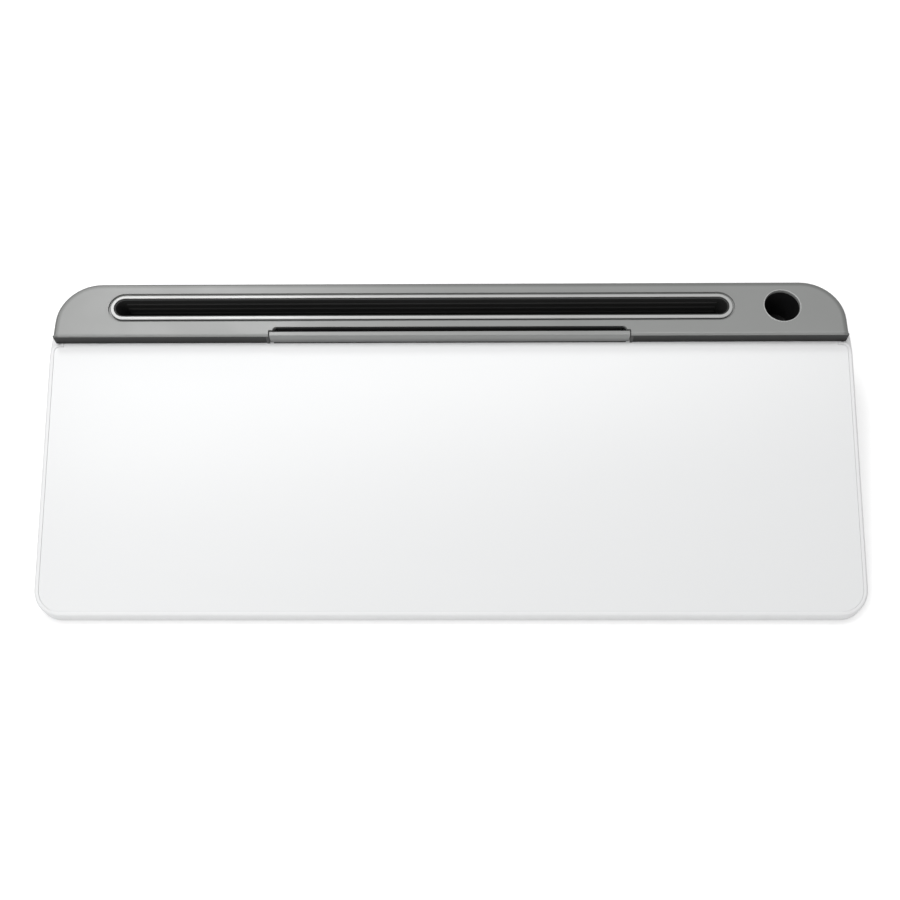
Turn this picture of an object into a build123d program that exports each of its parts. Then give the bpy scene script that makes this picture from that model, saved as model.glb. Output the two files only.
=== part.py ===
from build123d import *
from math import acos, atan2, cos, hypot, radians, sin, sqrt, tan
import os

os.makedirs("parts", exist_ok=True)

# A desk whiteboard easel: a wedge-shaped clamshell body with a sloping steel writing
# sheet, an organiser tray along the rear, a sprung clip bar and two fold-out legs.
# Millimetres and degrees. X runs to the right, Y to the rear and Z up. The easel stands
# on z = 0 with its legs folded out, centred on X and Y.

# ---- Driving dimensions ----

# Body
body_width = 457.0
board_run = 155.0          # writing board up its slope, from the front edge to the tray
board_slope = 13.0
sole_slope = 6.5           # underside, with the legs folded out
tread_flat = 0.12          # depth of the flats on which feet and boots meet the desk
front_thickness = 8.2      # body at its front edge
front_corner = 15.0        # corner radii in plan
rear_corner = 33.0
board_corner = 4.5         # raised board's corners beside the tray
rear_margin = 1.5          # body behind the tray
wall = 2.2
floor = 2.2
board_skin = 2.2           # plastic under the writing sheet
shelf_skin = 2.4           # shelf under the tray
shelf_drop = 1.5           # shelf below the board at the tray's front
seam_height = 3.6          # parting line above the underside at the front edge
seam_gap = 0.25            # shadow line between the two shells' walls
lip_height = 1.2
lip_thickness = 1.2
edge_bevel = 0.9
sole_bevel = 1.2
rib = 1.6
shell_ribs = (-0.33, -0.165, 0.165, 0.33)   # places across the body, as shares of its width
tub_ribs = (-0.245, -0.12, 0.12, 0.245)
rib_gap = 1.4              # between each shell's ribs and the parting line
pilot_gap = 0.05           # around parts that locate each other
overrun = 1.0              # cuts run this far past a face, and added stock into it

# Writing sheet
sheet_thickness = 0.5
sheet_rim = 2.5            # frame around the sheet
sheet_gap = 0.15
sheet_tuck = 3.2           # sheet and board under the tray's front wall
tape_thickness = 0.3
tape_width = 24.0
tape_rows = 3

# Tray
tray_margin = 4.0          # body beside the tray
tray_depth = 34.6
tray_rise = 9.0            # tray's top above the board at the tray's front
tray_corner = 24.5
tray_skin = 2.2
tray_round = 1.5
strip_depth = 1.2          # dark strips in the tray's front wall
strip_sink = 0.35
strip_lip = 1.2            # tray's edge above the strips
strip_proud = 0.4          # strips' outer ends past the tray's sides

# Device slot
slot_left = 32.7           # tray beyond the slot's left and right ends
slot_right = 65.5
slot_width = 12.0
slot_rear = 15.95          # centre line of the slot and of the pen hole, from the rear
slot_depth = 19.5
trough_wall = 1.3
flange_width = 2.0
flange_thickness = 1.3
flange_proud = 0.2
flange_groove = 1.2        # seam around the flange
grip_wall = 0.9
grip_drop = 0.4            # liner's edge below the flange
grip_ribs = 3
grip_rib_height = 0.45
grip_rib_width = 1.6

# Pen hole
pen_inset = 35.5           # hole's centre from the tray's right end
pen_bore = 20.0
pen_depth = 26.0
pen_bevel = 0.7
cup_wall = 1.2
cup_floor = 1.4

# Clip
clip_width = 203.6
clip_depth = 2.75
clip_gap = 0.6             # at each end of the bar
clip_back_gap = 0.9        # behind the bar's ends
clip_round = 0.5
slit_width = 200.4
slit_rear = 5.7            # rear edge of the slit, from the tray's front
slit_corner = 2.2
cheek = 1.5                # tray between the bar and the strips
jaw_height = 1.5           # bar's lower edge above the board
jaw_sink = 0.2
pivot_back = 8.7           # clip pin, from the tray's front
pivot_rise = 3.3
pin_diameter = 2.0
running_gap = 0.05
barrel_radius = 2.1
barrel_width = 12.0
barrel_inset = 23.8        # barrels' centres from the bar's ends
arm_thickness = 1.4
lug_width = 5.0
side_gap = 0.4
liner_thickness = 0.8
liner_height = 3.8
liner_drop = 0.3

# Clip springs
wire = 0.6
coil_radius = 1.6          # to the middle of the wire
coil_turns = 2
coil_pitch = 0.85
spring_seat = (3.8, 2.2)   # arm ledge, from the tray's front at board height
spring_anchor = 11.1       # fixed end of the wire, from the tray's front

# Legs
leg_inset = 78.5           # legs' centres from the body's sides
leg_width = 42.0
leg_web = 2.4
leg_flange = 5.6
leg_lean = 7.0             # past upright, to the rear
leg_pivot_run = 164.0      # leg pin, along the underside from the front edge
leg_pivot_inset = 4.2      # leg pin above the underside
leg_pin_diameter = 3.0
leg_barrel_radius = 3.0
boot_radius = 3.0
boot_height = 5.0
boot_gap = 0.05
pocket_gap = 0.6
pocket_roof = 1.6
heel_low = 0.6             # heel's lower edge above the underside
notch_width = 18.0
notch_length = 9.0

# Feet
foot_width = 8.0
foot_height = 2.0
foot_round = 1.8
foot_seat = 0.6
front_foot_run = 11.0
front_foot_length = 60.0
rear_foot_run = 172.0
rear_foot_length = 30.0
rear_foot_step = 60.0      # rear feet inboard of the legs

# Screws, drawn with flats like their holes and posts
screw_sides = 8
screw_shank = 2.9
screw_head = 5.6
screw_head_height = 1.8
screw_length = 7.2
screw_clearance = 0.3
boss_radius = 3.6
base_grip = 3.8            # screw head's seat below the parting line
base_rows = (50.0, 134.0)
base_screw_inset = 28.5    # outer screws from the body's sides
tray_screw_inset = 12.5    # outer screws from the tray's ends
tray_screw_step = 16.2     # inner screws from the bar's ends
tray_screw_backs = (13.0, 6.9, 6.9, 8.0)    # from the tray's front, left to right

# ---- Derived places ----

slope, tilt = radians(board_slope), radians(sole_slope)
seam_tilt = (slope + tilt) / 2
tray_width = body_width - 2 * tray_margin
body_depth = board_run * cos(slope) + tray_depth + rear_margin
front_y = -body_depth / 2
rear_y = body_depth / 2
tray_y = front_y + board_run * cos(slope)

# The front feet's rounded edge reaches the desk.
foot_edge_run = front_foot_run - foot_width / 2 + foot_round
foot_edge_z = foot_round - tread_flat
sole_front_z = foot_edge_z - foot_edge_run * sin(tilt) + (foot_height - foot_round) * cos(tilt)
front_z = sole_front_z + front_thickness
tray_z = front_z + board_run * sin(slope)
top_z = tray_z + tray_rise
shelf_z = tray_z - shelf_drop
step_y = tray_y - shelf_drop / tan(slope)
tail_y = tray_y + sheet_tuck
plate_z = top_z - tray_skin
slot_length = tray_width - slot_left - slot_right
slot_x = (slot_left - slot_right) / 2
slot_y = tray_y + tray_depth - slot_rear
pen_x = tray_width / 2 - pen_inset
cup_radius = pen_bore / 2 + cup_wall
leg_x = body_width / 2 - leg_inset
rear_foot_x = leg_x - rear_foot_step
barrel_x = clip_width / 2 - barrel_inset

base_side = body_width / 2 - base_screw_inset
base_columns = (-base_side, 0.0, base_side)
tray_side, tray_step = tray_width / 2 - tray_screw_inset, clip_width / 2 + tray_screw_step
tray_screw_columns = (-tray_side, -tray_step, tray_step, tray_side)
tray_screw_spots = [(x, tray_y + back) for x, back in zip(tray_screw_columns, tray_screw_backs)]

board = Plane((0, front_y, front_z), x_dir=(1, 0, 0), z_dir=(0, -sin(slope), cos(slope)))
sole = Plane((0, front_y, sole_front_z), x_dir=(1, 0, 0), z_dir=(0, -sin(tilt), cos(tilt)))


def sole_section(x):
    """A side-view plane at x, along and above the underside."""
    return Plane((x, front_y, sole_front_z), x_dir=(0, cos(tilt), sin(tilt)), z_dir=(1, 0, 0))


def sole_point(run, above):
    """A side-view point from its run along the underside and its height above it."""
    point = sole_section(0).from_local_coords(Vector(run, above))
    return (point.Y, point.Z)


def board_z(y):
    return front_z + (y - front_y) * tan(slope)


def sole_z(y, above=0.0):
    return sole_front_z + (y - front_y) * tan(tilt) + above / cos(tilt)


def seam_z(y, above=0.0):
    return sole_front_z + seam_height + (y - front_y) * tan(seam_tilt) + above


def across(height, margin=0.0):
    """A side-view line from the front edge to the rear, at height(y), less a margin."""
    return [(y, height(y)) for y in (front_y + margin, rear_y - margin)]


def clip_place(back, rise):
    """A side-view point, from the tray's front edge at board height."""
    return (tray_y + back, tray_z + rise)


sole_line = across(sole_z)
floor_line = across(lambda y: sole_z(y, floor))
seam_line = across(seam_z)
tub_rim_line = across(lambda y: seam_z(y, -seam_gap))
lip_line = across(lambda y: seam_z(y, lip_height))
tub_rib_low = across(lambda y: sole_z(y, floor / 2), wall / 2)
tub_rib_high = across(lambda y: seam_z(y, -rib_gap), wall / 2)
top_line = [(front_y, front_z), (step_y, shelf_z), (rear_y, shelf_z)]

board_depth = (sheet_thickness + tape_thickness + board_skin) / cos(slope)
ceiling_z = shelf_z - shelf_skin
ceiling_y = tray_y + (ceiling_z + board_depth - tray_z) / tan(slope)
ceiling_line = [(front_y, front_z - board_depth), (ceiling_y, ceiling_z), (rear_y, ceiling_z)]
shell_rib_line = across(lambda y: seam_z(y, rib_gap))

# ---- Outlines and blocks that several pieces share ----


def body_outline(inset=0.0):
    """The body's outline in plan, moved inwards."""
    with BuildSketch() as outline:
        Rectangle(body_width - 2 * inset, body_depth - 2 * inset)
        fillet(outline.vertices().group_by(Axis.Y)[0], front_corner - inset)
        fillet(outline.vertices().group_by(Axis.Y)[-1], rear_corner - inset)
    return outline.sketch


def slab(lower, upper, inset=0.0):
    """The body between two side-view lines, moved inwards from its outline."""
    with BuildPart() as block:
        with BuildSketch(Plane.YZ):
            with BuildLine():
                Polyline(*lower, *reversed(upper), close=True)
            make_face()
        extrude(amount=body_width / 2, both=True)
        with BuildSketch(Plane.XY):
            add(body_outline(inset))
        extrude(amount=top_z, mode=Mode.INTERSECT)
    return block.part


def profile(points, x_from, x_to):
    """A side-view polygon drawn along X from x_from to x_to."""
    with BuildPart() as block:
        with BuildSketch(Plane.YZ.offset(x_from)):
            with BuildLine():
                Polyline(*points, close=True)
            make_face()
        extrude(amount=x_to - x_from)
    return block.part


def rod(place, radius, x_from, x_to):
    """A round bar along X about a side-view point."""
    with BuildPart() as block:
        with BuildSketch(Plane.YZ.offset(x_from)):
            with Locations(place):
                Circle(radius)
        extrude(amount=x_to - x_from)
    return block.part


def board_outline(margin, end):
    """The raised board's outline on its plane: a field with a tongue under the tray."""
    field_end = board_run - margin
    with BuildSketch() as outline:
        with Locations((0, (sheet_rim + field_end) / 2)):
            Rectangle(body_width - 2 * (edge_bevel + margin), field_end - sheet_rim)
        fillet(outline.vertices().group_by(Axis.Y)[0], front_corner - sheet_rim)
        fillet(outline.vertices().group_by(Axis.Y)[-1], board_corner - margin)
        with Locations((0, end / 2 + field_end / 2 - board_corner)):
            Rectangle(tray_width - 2 * (wall + margin), end - field_end + 2 * board_corner)
    return outline.sketch


def tray_outline(inset=0.0, front=0.0):
    """The tray's outline in plan, moved inwards from its sides and rear."""
    length = tray_depth - inset - front
    with BuildSketch() as outline:
        with Locations((0, tray_y + front + length / 2)):
            Rectangle(tray_width - 2 * inset, length)
        fillet(outline.vertices().group_by(Axis.Y)[-1], tray_corner - inset)
    return outline.sketch


def slot_outline(grow=0.0):
    """The device slot's round-ended outline in plan."""
    with BuildSketch() as outline:
        with Locations((slot_x, slot_y)):
            SlotOverall(slot_length + 2 * grow, slot_width + 2 * grow)
    return outline.sketch


def disc(x, y, radius):
    with BuildSketch() as outline:
        with Locations((x, y)):
            Circle(radius)
    return outline.sketch


def spots(places, radius):
    """Outlines with flats for screws, their holes and their posts."""
    with BuildSketch() as outline:
        with Locations(*places):
            RegularPolygon(radius, screw_sides)
    return outline.sketch


def base_screw_rows():
    """Each row's places on the underside, and the parting line's height above them."""
    for run in base_rows:
        places = [(x, run) for x in base_columns]
        yield places, seam_height * cos(tilt) + run * tan(seam_tilt - tilt)


def base_posts(radius, low, high):
    """Posts on the base screws' axes, between two side-view lines."""
    with BuildPart() as posts:
        with BuildSketch(sole):
            for places, seam_rise in base_screw_rows():
                add(spots(places, radius))
        extrude(amount=top_z)
        add(slab(low, high, wall / 2), mode=Mode.INTERSECT)
    return posts.part


# ---- Top shell: board frame, rim and the shelf under the tray ----

with BuildPart() as board_tail:
    with BuildSketch(Plane.YZ):
        with BuildLine():
            Polyline(
                (step_y, shelf_z),
                (tail_y, board_z(tail_y)),
                (tail_y, ceiling_z),
                (step_y, ceiling_z),
                close=True,
            )
        make_face()
    extrude(amount=body_width / 2, both=True)
    with BuildSketch(Plane.XY):
        with Locations((0, (front_y + tray_y) / 2)):
            RectangleRounded(body_width - 2 * edge_bevel, tray_y - front_y, board_corner)
        with Locations((0, tray_y)):
            Rectangle(tray_width - 2 * wall, 2 * (sheet_tuck + board_corner))
    extrude(amount=top_z, mode=Mode.INTERSECT)

with BuildPart() as top_shell:
    add(slab(seam_line, top_line))
    top_faces = top_shell.faces().filter_by(lambda face: face.normal_at().Z > 0.5)
    rim_edges = top_faces.edges().filter_by(lambda edge: abs(edge.center().Y - step_y) > 0.1)
    chamfer(rim_edges, edge_bevel)
    add(board_tail.part)
    add(slab(seam_line, ceiling_line, wall), mode=Mode.SUBTRACT)
    # Shallow seat for the writing sheet and its tape
    with BuildSketch(board):
        add(board_outline(sheet_rim - edge_bevel, board_run + 2 * sheet_tuck))
    extrude(amount=-(sheet_thickness + tape_thickness), mode=Mode.SUBTRACT)
    # Ribs under the board, down to the parting line
    for share in shell_ribs:
        x = share * body_width
        add(profile([*shell_rib_line, *reversed(ceiling_line)], x - rib / 2, x + rib / 2))
    # Square-cornered ways through the shelf for the trough and the pen cup
    trough_way = 2 * (trough_wall + pocket_gap)
    cup_way = 2 * (cup_radius + pilot_gap)
    with BuildSketch(Plane.XY.offset(shelf_z)):
        with Locations((slot_x, slot_y)):
            Rectangle(slot_length + trough_way, slot_width + trough_way)
        with Locations((pen_x, slot_y)):
            Rectangle(cup_way, cup_way)
    extrude(amount=-pen_depth, mode=Mode.SUBTRACT)
    add(base_posts(boss_radius, seam_line, ceiling_line))
    for places, seam_rise in base_screw_rows():
        with BuildSketch(sole.offset(seam_rise - overrun)):
            add(spots(places, screw_shank / 2 + pilot_gap))
        pilot_length = screw_length - base_grip + screw_clearance
        extrude(amount=overrun + pilot_length, mode=Mode.SUBTRACT)
    with BuildSketch(Plane.XY.offset(ceiling_z - overrun)):
        add(spots(tray_screw_spots, screw_shank / 2 + screw_clearance))
    extrude(amount=2 * shelf_skin, mode=Mode.SUBTRACT)
top_shell.part.label = "top_shell"

# ---- Writing sheet and its bonding tape ----

with BuildPart() as writing_sheet:
    with BuildSketch(board):
        add(board_outline(sheet_rim - edge_bevel + sheet_gap, board_run + sheet_tuck))
    extrude(amount=-sheet_thickness)
writing_sheet.part.label = "writing_sheet"

with BuildPart() as bonding_tape:
    tape_pitch = (board_run - 2 * front_corner - tape_width) / (tape_rows - 1)
    with BuildSketch(board.offset(-sheet_thickness)):
        with Locations((0, board_run / 2)):
            with GridLocations(0, tape_pitch, 1, tape_rows):
                Rectangle(body_width - 2 * front_corner, tape_width)
    extrude(amount=-tape_thickness)
bonding_tape.part.label = "bonding_tape"

# ---- Base tub: lower half of the body, with the leg pockets ----

leg_pivot = sole_point(leg_pivot_run, leg_pivot_inset)
pivot_y, pivot_z = leg_pivot
leg_length = (pivot_z - boot_radius + tread_flat) / cos(radians(leg_lean))
pocket_width = leg_width + 2 * pocket_gap
pocket_rear = leg_pivot_run + leg_barrel_radius + pocket_gap
pocket_front = leg_pivot_run - leg_length - boot_radius - pocket_gap
pocket_depth = leg_pivot_inset + leg_barrel_radius + pocket_gap


def pocket_outline(grow=0.0):
    """The leg pockets and their finger notches, on the underside."""
    length = pocket_rear - pocket_front + 2 * grow
    with BuildSketch() as outline:
        for side in (-1, 1):
            with Locations((side * leg_x, (pocket_front + pocket_rear) / 2)):
                Rectangle(pocket_width + 2 * grow, length)
            with Locations((side * leg_x, pocket_front)):
                RectangleRounded(notch_width + 2 * grow, 2 * (notch_length + grow), notch_width / 3)
    return outline.sketch


with BuildPart() as base_tub:
    add(slab(sole_line, tub_rim_line))
    underside = base_tub.faces().filter_by(lambda face: face.normal_at().Z < -0.5)
    chamfer(underside.edges(), sole_bevel)
    add(slab(floor_line, seam_line, wall), mode=Mode.SUBTRACT)
    # Locating lip inside the top shell's wall
    add(slab(floor_line, lip_line, wall + pilot_gap))
    add(slab(floor_line, lip_line, wall + lip_thickness), mode=Mode.SUBTRACT)
    for share in tub_ribs:
        x = share * body_width
        add(profile([*tub_rib_low, *reversed(tub_rib_high)], x - rib / 2, x + rib / 2))
    with BuildSketch(sole):
        add(pocket_outline(wall))
    extrude(amount=pocket_depth + pocket_roof)
    add(base_posts(boss_radius, sole_line, seam_line))
    add(slab(sole_line, lip_line), mode=Mode.INTERSECT)
    # Room for the trough above the ribs
    with BuildSketch(Plane.XY.offset(top_z - slot_depth - trough_wall - pocket_gap)):
        add(slot_outline(trough_wall + pocket_gap))
    extrude(amount=slot_depth, mode=Mode.SUBTRACT)
    with BuildSketch(sole):
        add(pocket_outline())
    extrude(amount=pocket_depth, mode=Mode.SUBTRACT)
    for places, seam_rise in base_screw_rows():
        with BuildSketch(sole):
            add(spots(places, screw_head / 2 + screw_clearance))
        extrude(amount=seam_rise - base_grip, mode=Mode.SUBTRACT)
        with BuildSketch(sole):
            add(spots(places, screw_shank / 2 + screw_clearance))
        extrude(amount=seam_rise + base_grip, mode=Mode.SUBTRACT)
    for side in (-1, 1):
        reach = pocket_width / 2 + wall
        bore = leg_pin_diameter / 2 + running_gap
        add(
            rod(leg_pivot, bore, side * leg_x - reach, side * leg_x + reach),
            mode=Mode.SUBTRACT,
        )
    # Shallow seats for the feet
    with BuildSketch(sole):
        with Locations((-leg_x, front_foot_run), (leg_x, front_foot_run)):
            Rectangle(front_foot_length, foot_width)
        with Locations((-rear_foot_x, rear_foot_run), (rear_foot_x, rear_foot_run)):
            Rectangle(rear_foot_length, foot_width)
    extrude(amount=foot_seat, mode=Mode.SUBTRACT)
base_tub.part.label = "base_tub"

# ---- Feet ----


def feet(length, x, run):
    """A pair of rubber feet with rounded lower edges, cut flat by the desk."""
    with BuildPart() as pads:
        for middle in (-x, x):
            with BuildSketch(sole_section(middle - length / 2)) as section:
                with Locations((run, (foot_seat - foot_height) / 2)):
                    Rectangle(foot_width, foot_seat + foot_height)
                fillet(section.vertices().group_by(Axis.Y)[0], foot_round)
            extrude(amount=length)
        split(bisect_by=Plane.XY, keep=Keep.TOP)
    return pads.part


front_feet = feet(front_foot_length, leg_x, front_foot_run)
front_feet.label = "front_feet"
rear_feet = feet(rear_foot_length, rear_foot_x, rear_foot_run)
rear_feet.label = "rear_feet"

# ---- Tray cover ----

notch_x = clip_width / 2 + clip_gap
notch_back = clip_depth + clip_back_gap
pin_place = clip_place(pivot_back, pivot_rise)
plate_rise = tray_rise - tray_skin
strip_rise = tray_rise - strip_lip
# Lugs outside the bar's two barrels keep it central.
lug_x = barrel_x + barrel_width / 2 + side_gap + lug_width / 2

with BuildPart() as tray_cover:
    with BuildSketch(Plane.XY.offset(shelf_z)):
        add(tray_outline())
    extrude(amount=top_z - shelf_z)
    fillet(tray_cover.faces().sort_by(Axis.Z)[-1].edges(), tray_round)
    with BuildSketch(Plane.XY.offset(shelf_z)):
        add(tray_outline(wall, strip_depth + wall))
    extrude(amount=plate_z - shelf_z, mode=Mode.SUBTRACT)
    # The front wall stands on the sloping board.
    tail_front, tail_rear = tray_y - overrun, tail_y + pilot_gap
    tail = [(tail_front, shelf_z - overrun), (tail_front, board_z(tail_front))]
    tail += [(tail_rear, board_z(tail_rear)), (tail_rear, shelf_z - overrun)]
    inner = tray_width / 2 - wall
    add(profile(tail, -inner, inner), mode=Mode.SUBTRACT)
    # Rebates for the two dark strips
    strip_box = [clip_place(-overrun, -shelf_drop), clip_place(strip_depth, -shelf_drop)]
    strip_box += [clip_place(strip_depth, strip_rise), clip_place(-overrun, strip_rise)]
    for side in (-1, 1):
        ends = sorted((side * (notch_x + cheek), side * tray_width))
        add(profile(strip_box, *ends), mode=Mode.SUBTRACT)
    # Notch for the clip bar, and the slit behind it
    with BuildSketch(Plane.XY.offset(shelf_z)):
        with Locations((0, tray_y)):
            Rectangle(2 * notch_x, 2 * notch_back)
        with Locations((0, tray_y)):
            RectangleRounded(slit_width, 2 * slit_rear, slit_corner)
    extrude(amount=top_z, mode=Mode.SUBTRACT)
    # Lugs for the clip pin
    for x in (-lug_x, lug_x):
        low, high = x - lug_width / 2, x + lug_width / 2
        lug = [clip_place(pivot_back - barrel_radius, pivot_rise - barrel_radius)]
        lug += [clip_place(pivot_back + barrel_radius, pivot_rise - barrel_radius)]
        lug += [clip_place(pivot_back + barrel_radius, plate_rise + overrun)]
        lug += [clip_place(pivot_back - barrel_radius, plate_rise + overrun)]
        add(profile(lug, low, high))
        bore = pin_diameter / 2 + running_gap
        add(rod(pin_place, bore, low, high), mode=Mode.SUBTRACT)
    # Bosses for the tray's screws
    with BuildSketch(Plane.XY.offset(shelf_z)):
        add(spots(tray_screw_spots, boss_radius - screw_clearance))
    extrude(amount=plate_z - shelf_z + overrun)
    with BuildSketch(Plane.XY.offset(shelf_z)):
        add(spots(tray_screw_spots, screw_shank / 2 + pilot_gap))
    extrude(amount=screw_length - shelf_skin + screw_clearance, mode=Mode.SUBTRACT)
    # Device slot with its flange's recess, and the pen hole
    with BuildSketch(Plane.XY.offset(plate_z)):
        add(slot_outline(trough_wall + pilot_gap))
        add(disc(pen_x, slot_y, pen_bore / 2))
    extrude(amount=tray_skin, mode=Mode.SUBTRACT)
    pen_edge = tray_cover.edges().filter_by(GeomType.CIRCLE).filter_by(
        lambda edge: abs(edge.radius - pen_bore / 2) < 0.001 and edge.center().Z > top_z - 0.1
    )
    chamfer(pen_edge, pen_bevel)
    with BuildSketch(Plane.XY.offset(top_z - flange_thickness)):
        add(slot_outline(flange_width + flange_groove))
    extrude(amount=flange_thickness, mode=Mode.SUBTRACT)
tray_cover.part.label = "tray_cover"

# ---- Dark strips along the tray's front wall ----


def front_strip(side):
    """A strip from beside the clip bar to just past the tray's end."""
    points = [(tray_y + strip_sink, board_z(tray_y + strip_sink))]
    points += [(tray_y + strip_depth, board_z(tray_y + strip_depth))]
    points += [clip_place(strip_depth, strip_rise)]
    points += [clip_place(strip_sink, strip_rise)]
    ends = sorted((side * (notch_x + cheek), side * (tray_width / 2 + strip_proud)))
    return profile(points, *ends)


front_strip_left = front_strip(-1)
front_strip_left.label = "front_strip_left"
front_strip_right = front_strip(1)
front_strip_right.label = "front_strip_right"

# ---- Device slot: flanged trough and its ribbed soft liner ----

with BuildPart() as slot_trough:
    with BuildSketch(Plane.XY.offset(top_z - flange_thickness)):
        add(slot_outline(flange_width))
    extrude(amount=flange_thickness + flange_proud)
    chamfer(slot_trough.faces().sort_by(Axis.Z)[-1].edges(), 2 * flange_proud)
    with BuildSketch(Plane.XY.offset(top_z - slot_depth - trough_wall)):
        add(slot_outline(trough_wall))
    extrude(amount=slot_depth + trough_wall - flange_thickness)
    with BuildSketch(Plane.XY.offset(top_z - slot_depth)):
        add(slot_outline())
    extrude(amount=2 * slot_depth, mode=Mode.SUBTRACT)
slot_trough.part.label = "slot_trough"

with BuildPart() as slot_grip:
    grip_z = top_z - slot_depth
    grip_height = slot_depth - grip_drop
    grip_inner = slot_width / 2 - pilot_gap - grip_wall
    with BuildSketch(Plane.XY.offset(grip_z)):
        add(slot_outline(-pilot_gap))
    extrude(amount=grip_height)
    with BuildSketch(Plane.XY.offset(grip_z + grip_wall)):
        add(slot_outline(-pilot_gap - grip_wall))
    extrude(amount=grip_height, mode=Mode.SUBTRACT)
    # Lengthwise ribs that take hold of a device
    for row in range(grip_ribs):
        rib_z = grip_z + grip_height * (row + 1) / (grip_ribs + 1)
        for side in (-1, 1):
            root_y = slot_y + side * (grip_inner + grip_wall / 2)
            crest_y = slot_y + side * (grip_inner - grip_rib_height)
            points = [(root_y, rib_z - grip_rib_width), (crest_y, rib_z - grip_rib_width / 4)]
            points += [(crest_y, rib_z + grip_rib_width / 4), (root_y, rib_z + grip_rib_width)]
            reach = (slot_length - slot_width) / 2
            add(profile(points, slot_x - reach, slot_x + reach))
slot_grip.part.label = "slot_grip"

# ---- Pen cup ----

with BuildPart() as pen_cup:
    with BuildSketch(Plane.XY.offset(top_z - pen_depth - cup_floor)):
        add(disc(pen_x, slot_y, cup_radius))
    extrude(amount=pen_depth + cup_floor - tray_skin)
    with BuildSketch(Plane.XY.offset(top_z - pen_depth)):
        add(disc(pen_x, slot_y, pen_bore / 2))
    extrude(amount=pen_depth, mode=Mode.SUBTRACT)
pen_cup.part.label = "pen_cup"

# ---- Clip: bar, jaw, pin, springs and the slit's liner ----

with BuildPart() as clip_bar:
    bar = [clip_place(0, jaw_height), clip_place(clip_depth, jaw_height)]
    bar += [clip_place(clip_depth, tray_rise), clip_place(0, tray_rise)]
    add(profile(bar, -clip_width / 2, clip_width / 2))
    fillet(clip_bar.edges().filter_by(Axis.X).group_by(Axis.Z)[-1], clip_round)
    for x in (-barrel_x, barrel_x):
        low, high = x - barrel_width / 2, x + barrel_width / 2
        arm = [clip_place(clip_depth, jaw_height), clip_place(clip_depth, jaw_height + arm_thickness)]
        arm += [clip_place(pivot_back - barrel_radius, pivot_rise), pin_place]
        arm += [clip_place(pivot_back, pivot_rise - barrel_radius)]
        add(profile(arm, low, high))
        add(rod(pin_place, barrel_radius, low, high))
        bore = pin_diameter / 2 + running_gap
        add(rod(pin_place, bore, low, high), mode=Mode.SUBTRACT)
    # Ledges that the springs press on, inboard of the arms
    seat_back, seat_rise = spring_seat
    ledge = [clip_place(clip_depth, jaw_height), clip_place(clip_depth, seat_rise)]
    ledge += [clip_place(seat_back + wire, seat_rise), clip_place(seat_back + wire, jaw_height)]
    inner_end = barrel_x - barrel_width / 2
    for side in (-1, 1):
        ends = sorted((side * inner_end, side * (inner_end - coil_turns * coil_pitch - 2 * wire)))
        add(profile(ledge, *ends))
clip_bar.part.label = "clip_bar"

jaw = [(tray_y + jaw_sink, board_z(tray_y + jaw_sink))]
jaw += [(tray_y + clip_depth - jaw_sink, board_z(tray_y + clip_depth - jaw_sink))]
jaw += [clip_place(clip_depth - jaw_sink, jaw_height), clip_place(jaw_sink, jaw_height)]
clip_pad = profile(jaw, -slit_width / 2, slit_width / 2)
clip_pad.label = "clip_pad"

pin_reach = lug_x + lug_width / 2
clip_pin = rod(pin_place, pin_diameter / 2, -pin_reach, pin_reach)
clip_pin.label = "clip_pin"

liner = [clip_place(slit_rear - liner_thickness, tray_rise - liner_drop)]
liner += [clip_place(slit_rear, tray_rise - liner_drop)]
liner += [clip_place(slit_rear, tray_rise - liner_drop - liner_height)]
liner += [clip_place(slit_rear - liner_thickness, tray_rise - liner_drop - liner_height)]
slit_liner = profile(liner, slit_corner - slit_width / 2, slit_width / 2 - slit_corner)
slit_liner.label = "slit_liner"


def tangent_angle(back, rise, turn):
    """Angle about the pin at which a wire to this point leaves the coil."""
    away, up = back - pivot_back, rise - pivot_rise
    return atan2(up, away) + turn * acos(coil_radius / hypot(away, up))


def wire_reach(back, rise):
    """Length of the straight wire from the coil to this point."""
    return sqrt((back - pivot_back) ** 2 + (rise - pivot_rise) ** 2 - coil_radius**2)


# A coil about the pin, wound inwards from the bar's arm. One end of the wire presses the
# bar's ledge down and the other bears on the tray's underside.
seat = (spring_seat[0], spring_seat[1] + wire / 2 + running_gap)
anchor = (spring_anchor, plate_rise - wire / 2 - running_gap)
coil_start, coil_end = tangent_angle(*seat, -1), tangent_angle(*anchor, 1)
coil_length = coil_pitch * (coil_turns + (coil_start - coil_end) / radians(360) % 1)
coil_plane = Plane(
    (barrel_x - barrel_width / 2 - wire, *pin_place),
    x_dir=(0, cos(coil_start), sin(coil_start)),
    z_dir=(-1, 0, 0),
)
coil = Helix(coil_pitch, coil_length, coil_radius).moved(Location(coil_plane))

with BuildPart() as clip_spring_right:
    with BuildSketch(Plane(coil @ 0, z_dir=coil % 0)):
        RegularPolygon(wire / 2, 4)
    sweep(path=coil, is_frenet=True)
    wire_ends = clip_spring_right.faces().filter_by(GeomType.PLANE).sort_by(Axis.X)
    extrude(wire_ends[-1], amount=wire_reach(*seat))
    extrude(wire_ends[0], amount=wire_reach(*anchor))
clip_spring_right.part.label = "clip_spring_right"

with BuildPart() as clip_spring_left:
    mirror(clip_spring_right.part, about=Plane.YZ)
clip_spring_left.part.label = "clip_spring_left"

# ---- Legs, their pins and boots ----

lean = radians(leg_lean)
leg_axis = (sin(lean), -cos(lean))


def leg_place(along, out=0.0):
    """A side-view point on the leg: along it from the pin, and out to the rear."""
    y = pivot_y + along * leg_axis[0] + out * cos(lean)
    z = pivot_z + along * leg_axis[1] + out * sin(lean)
    return (y, z)


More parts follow.
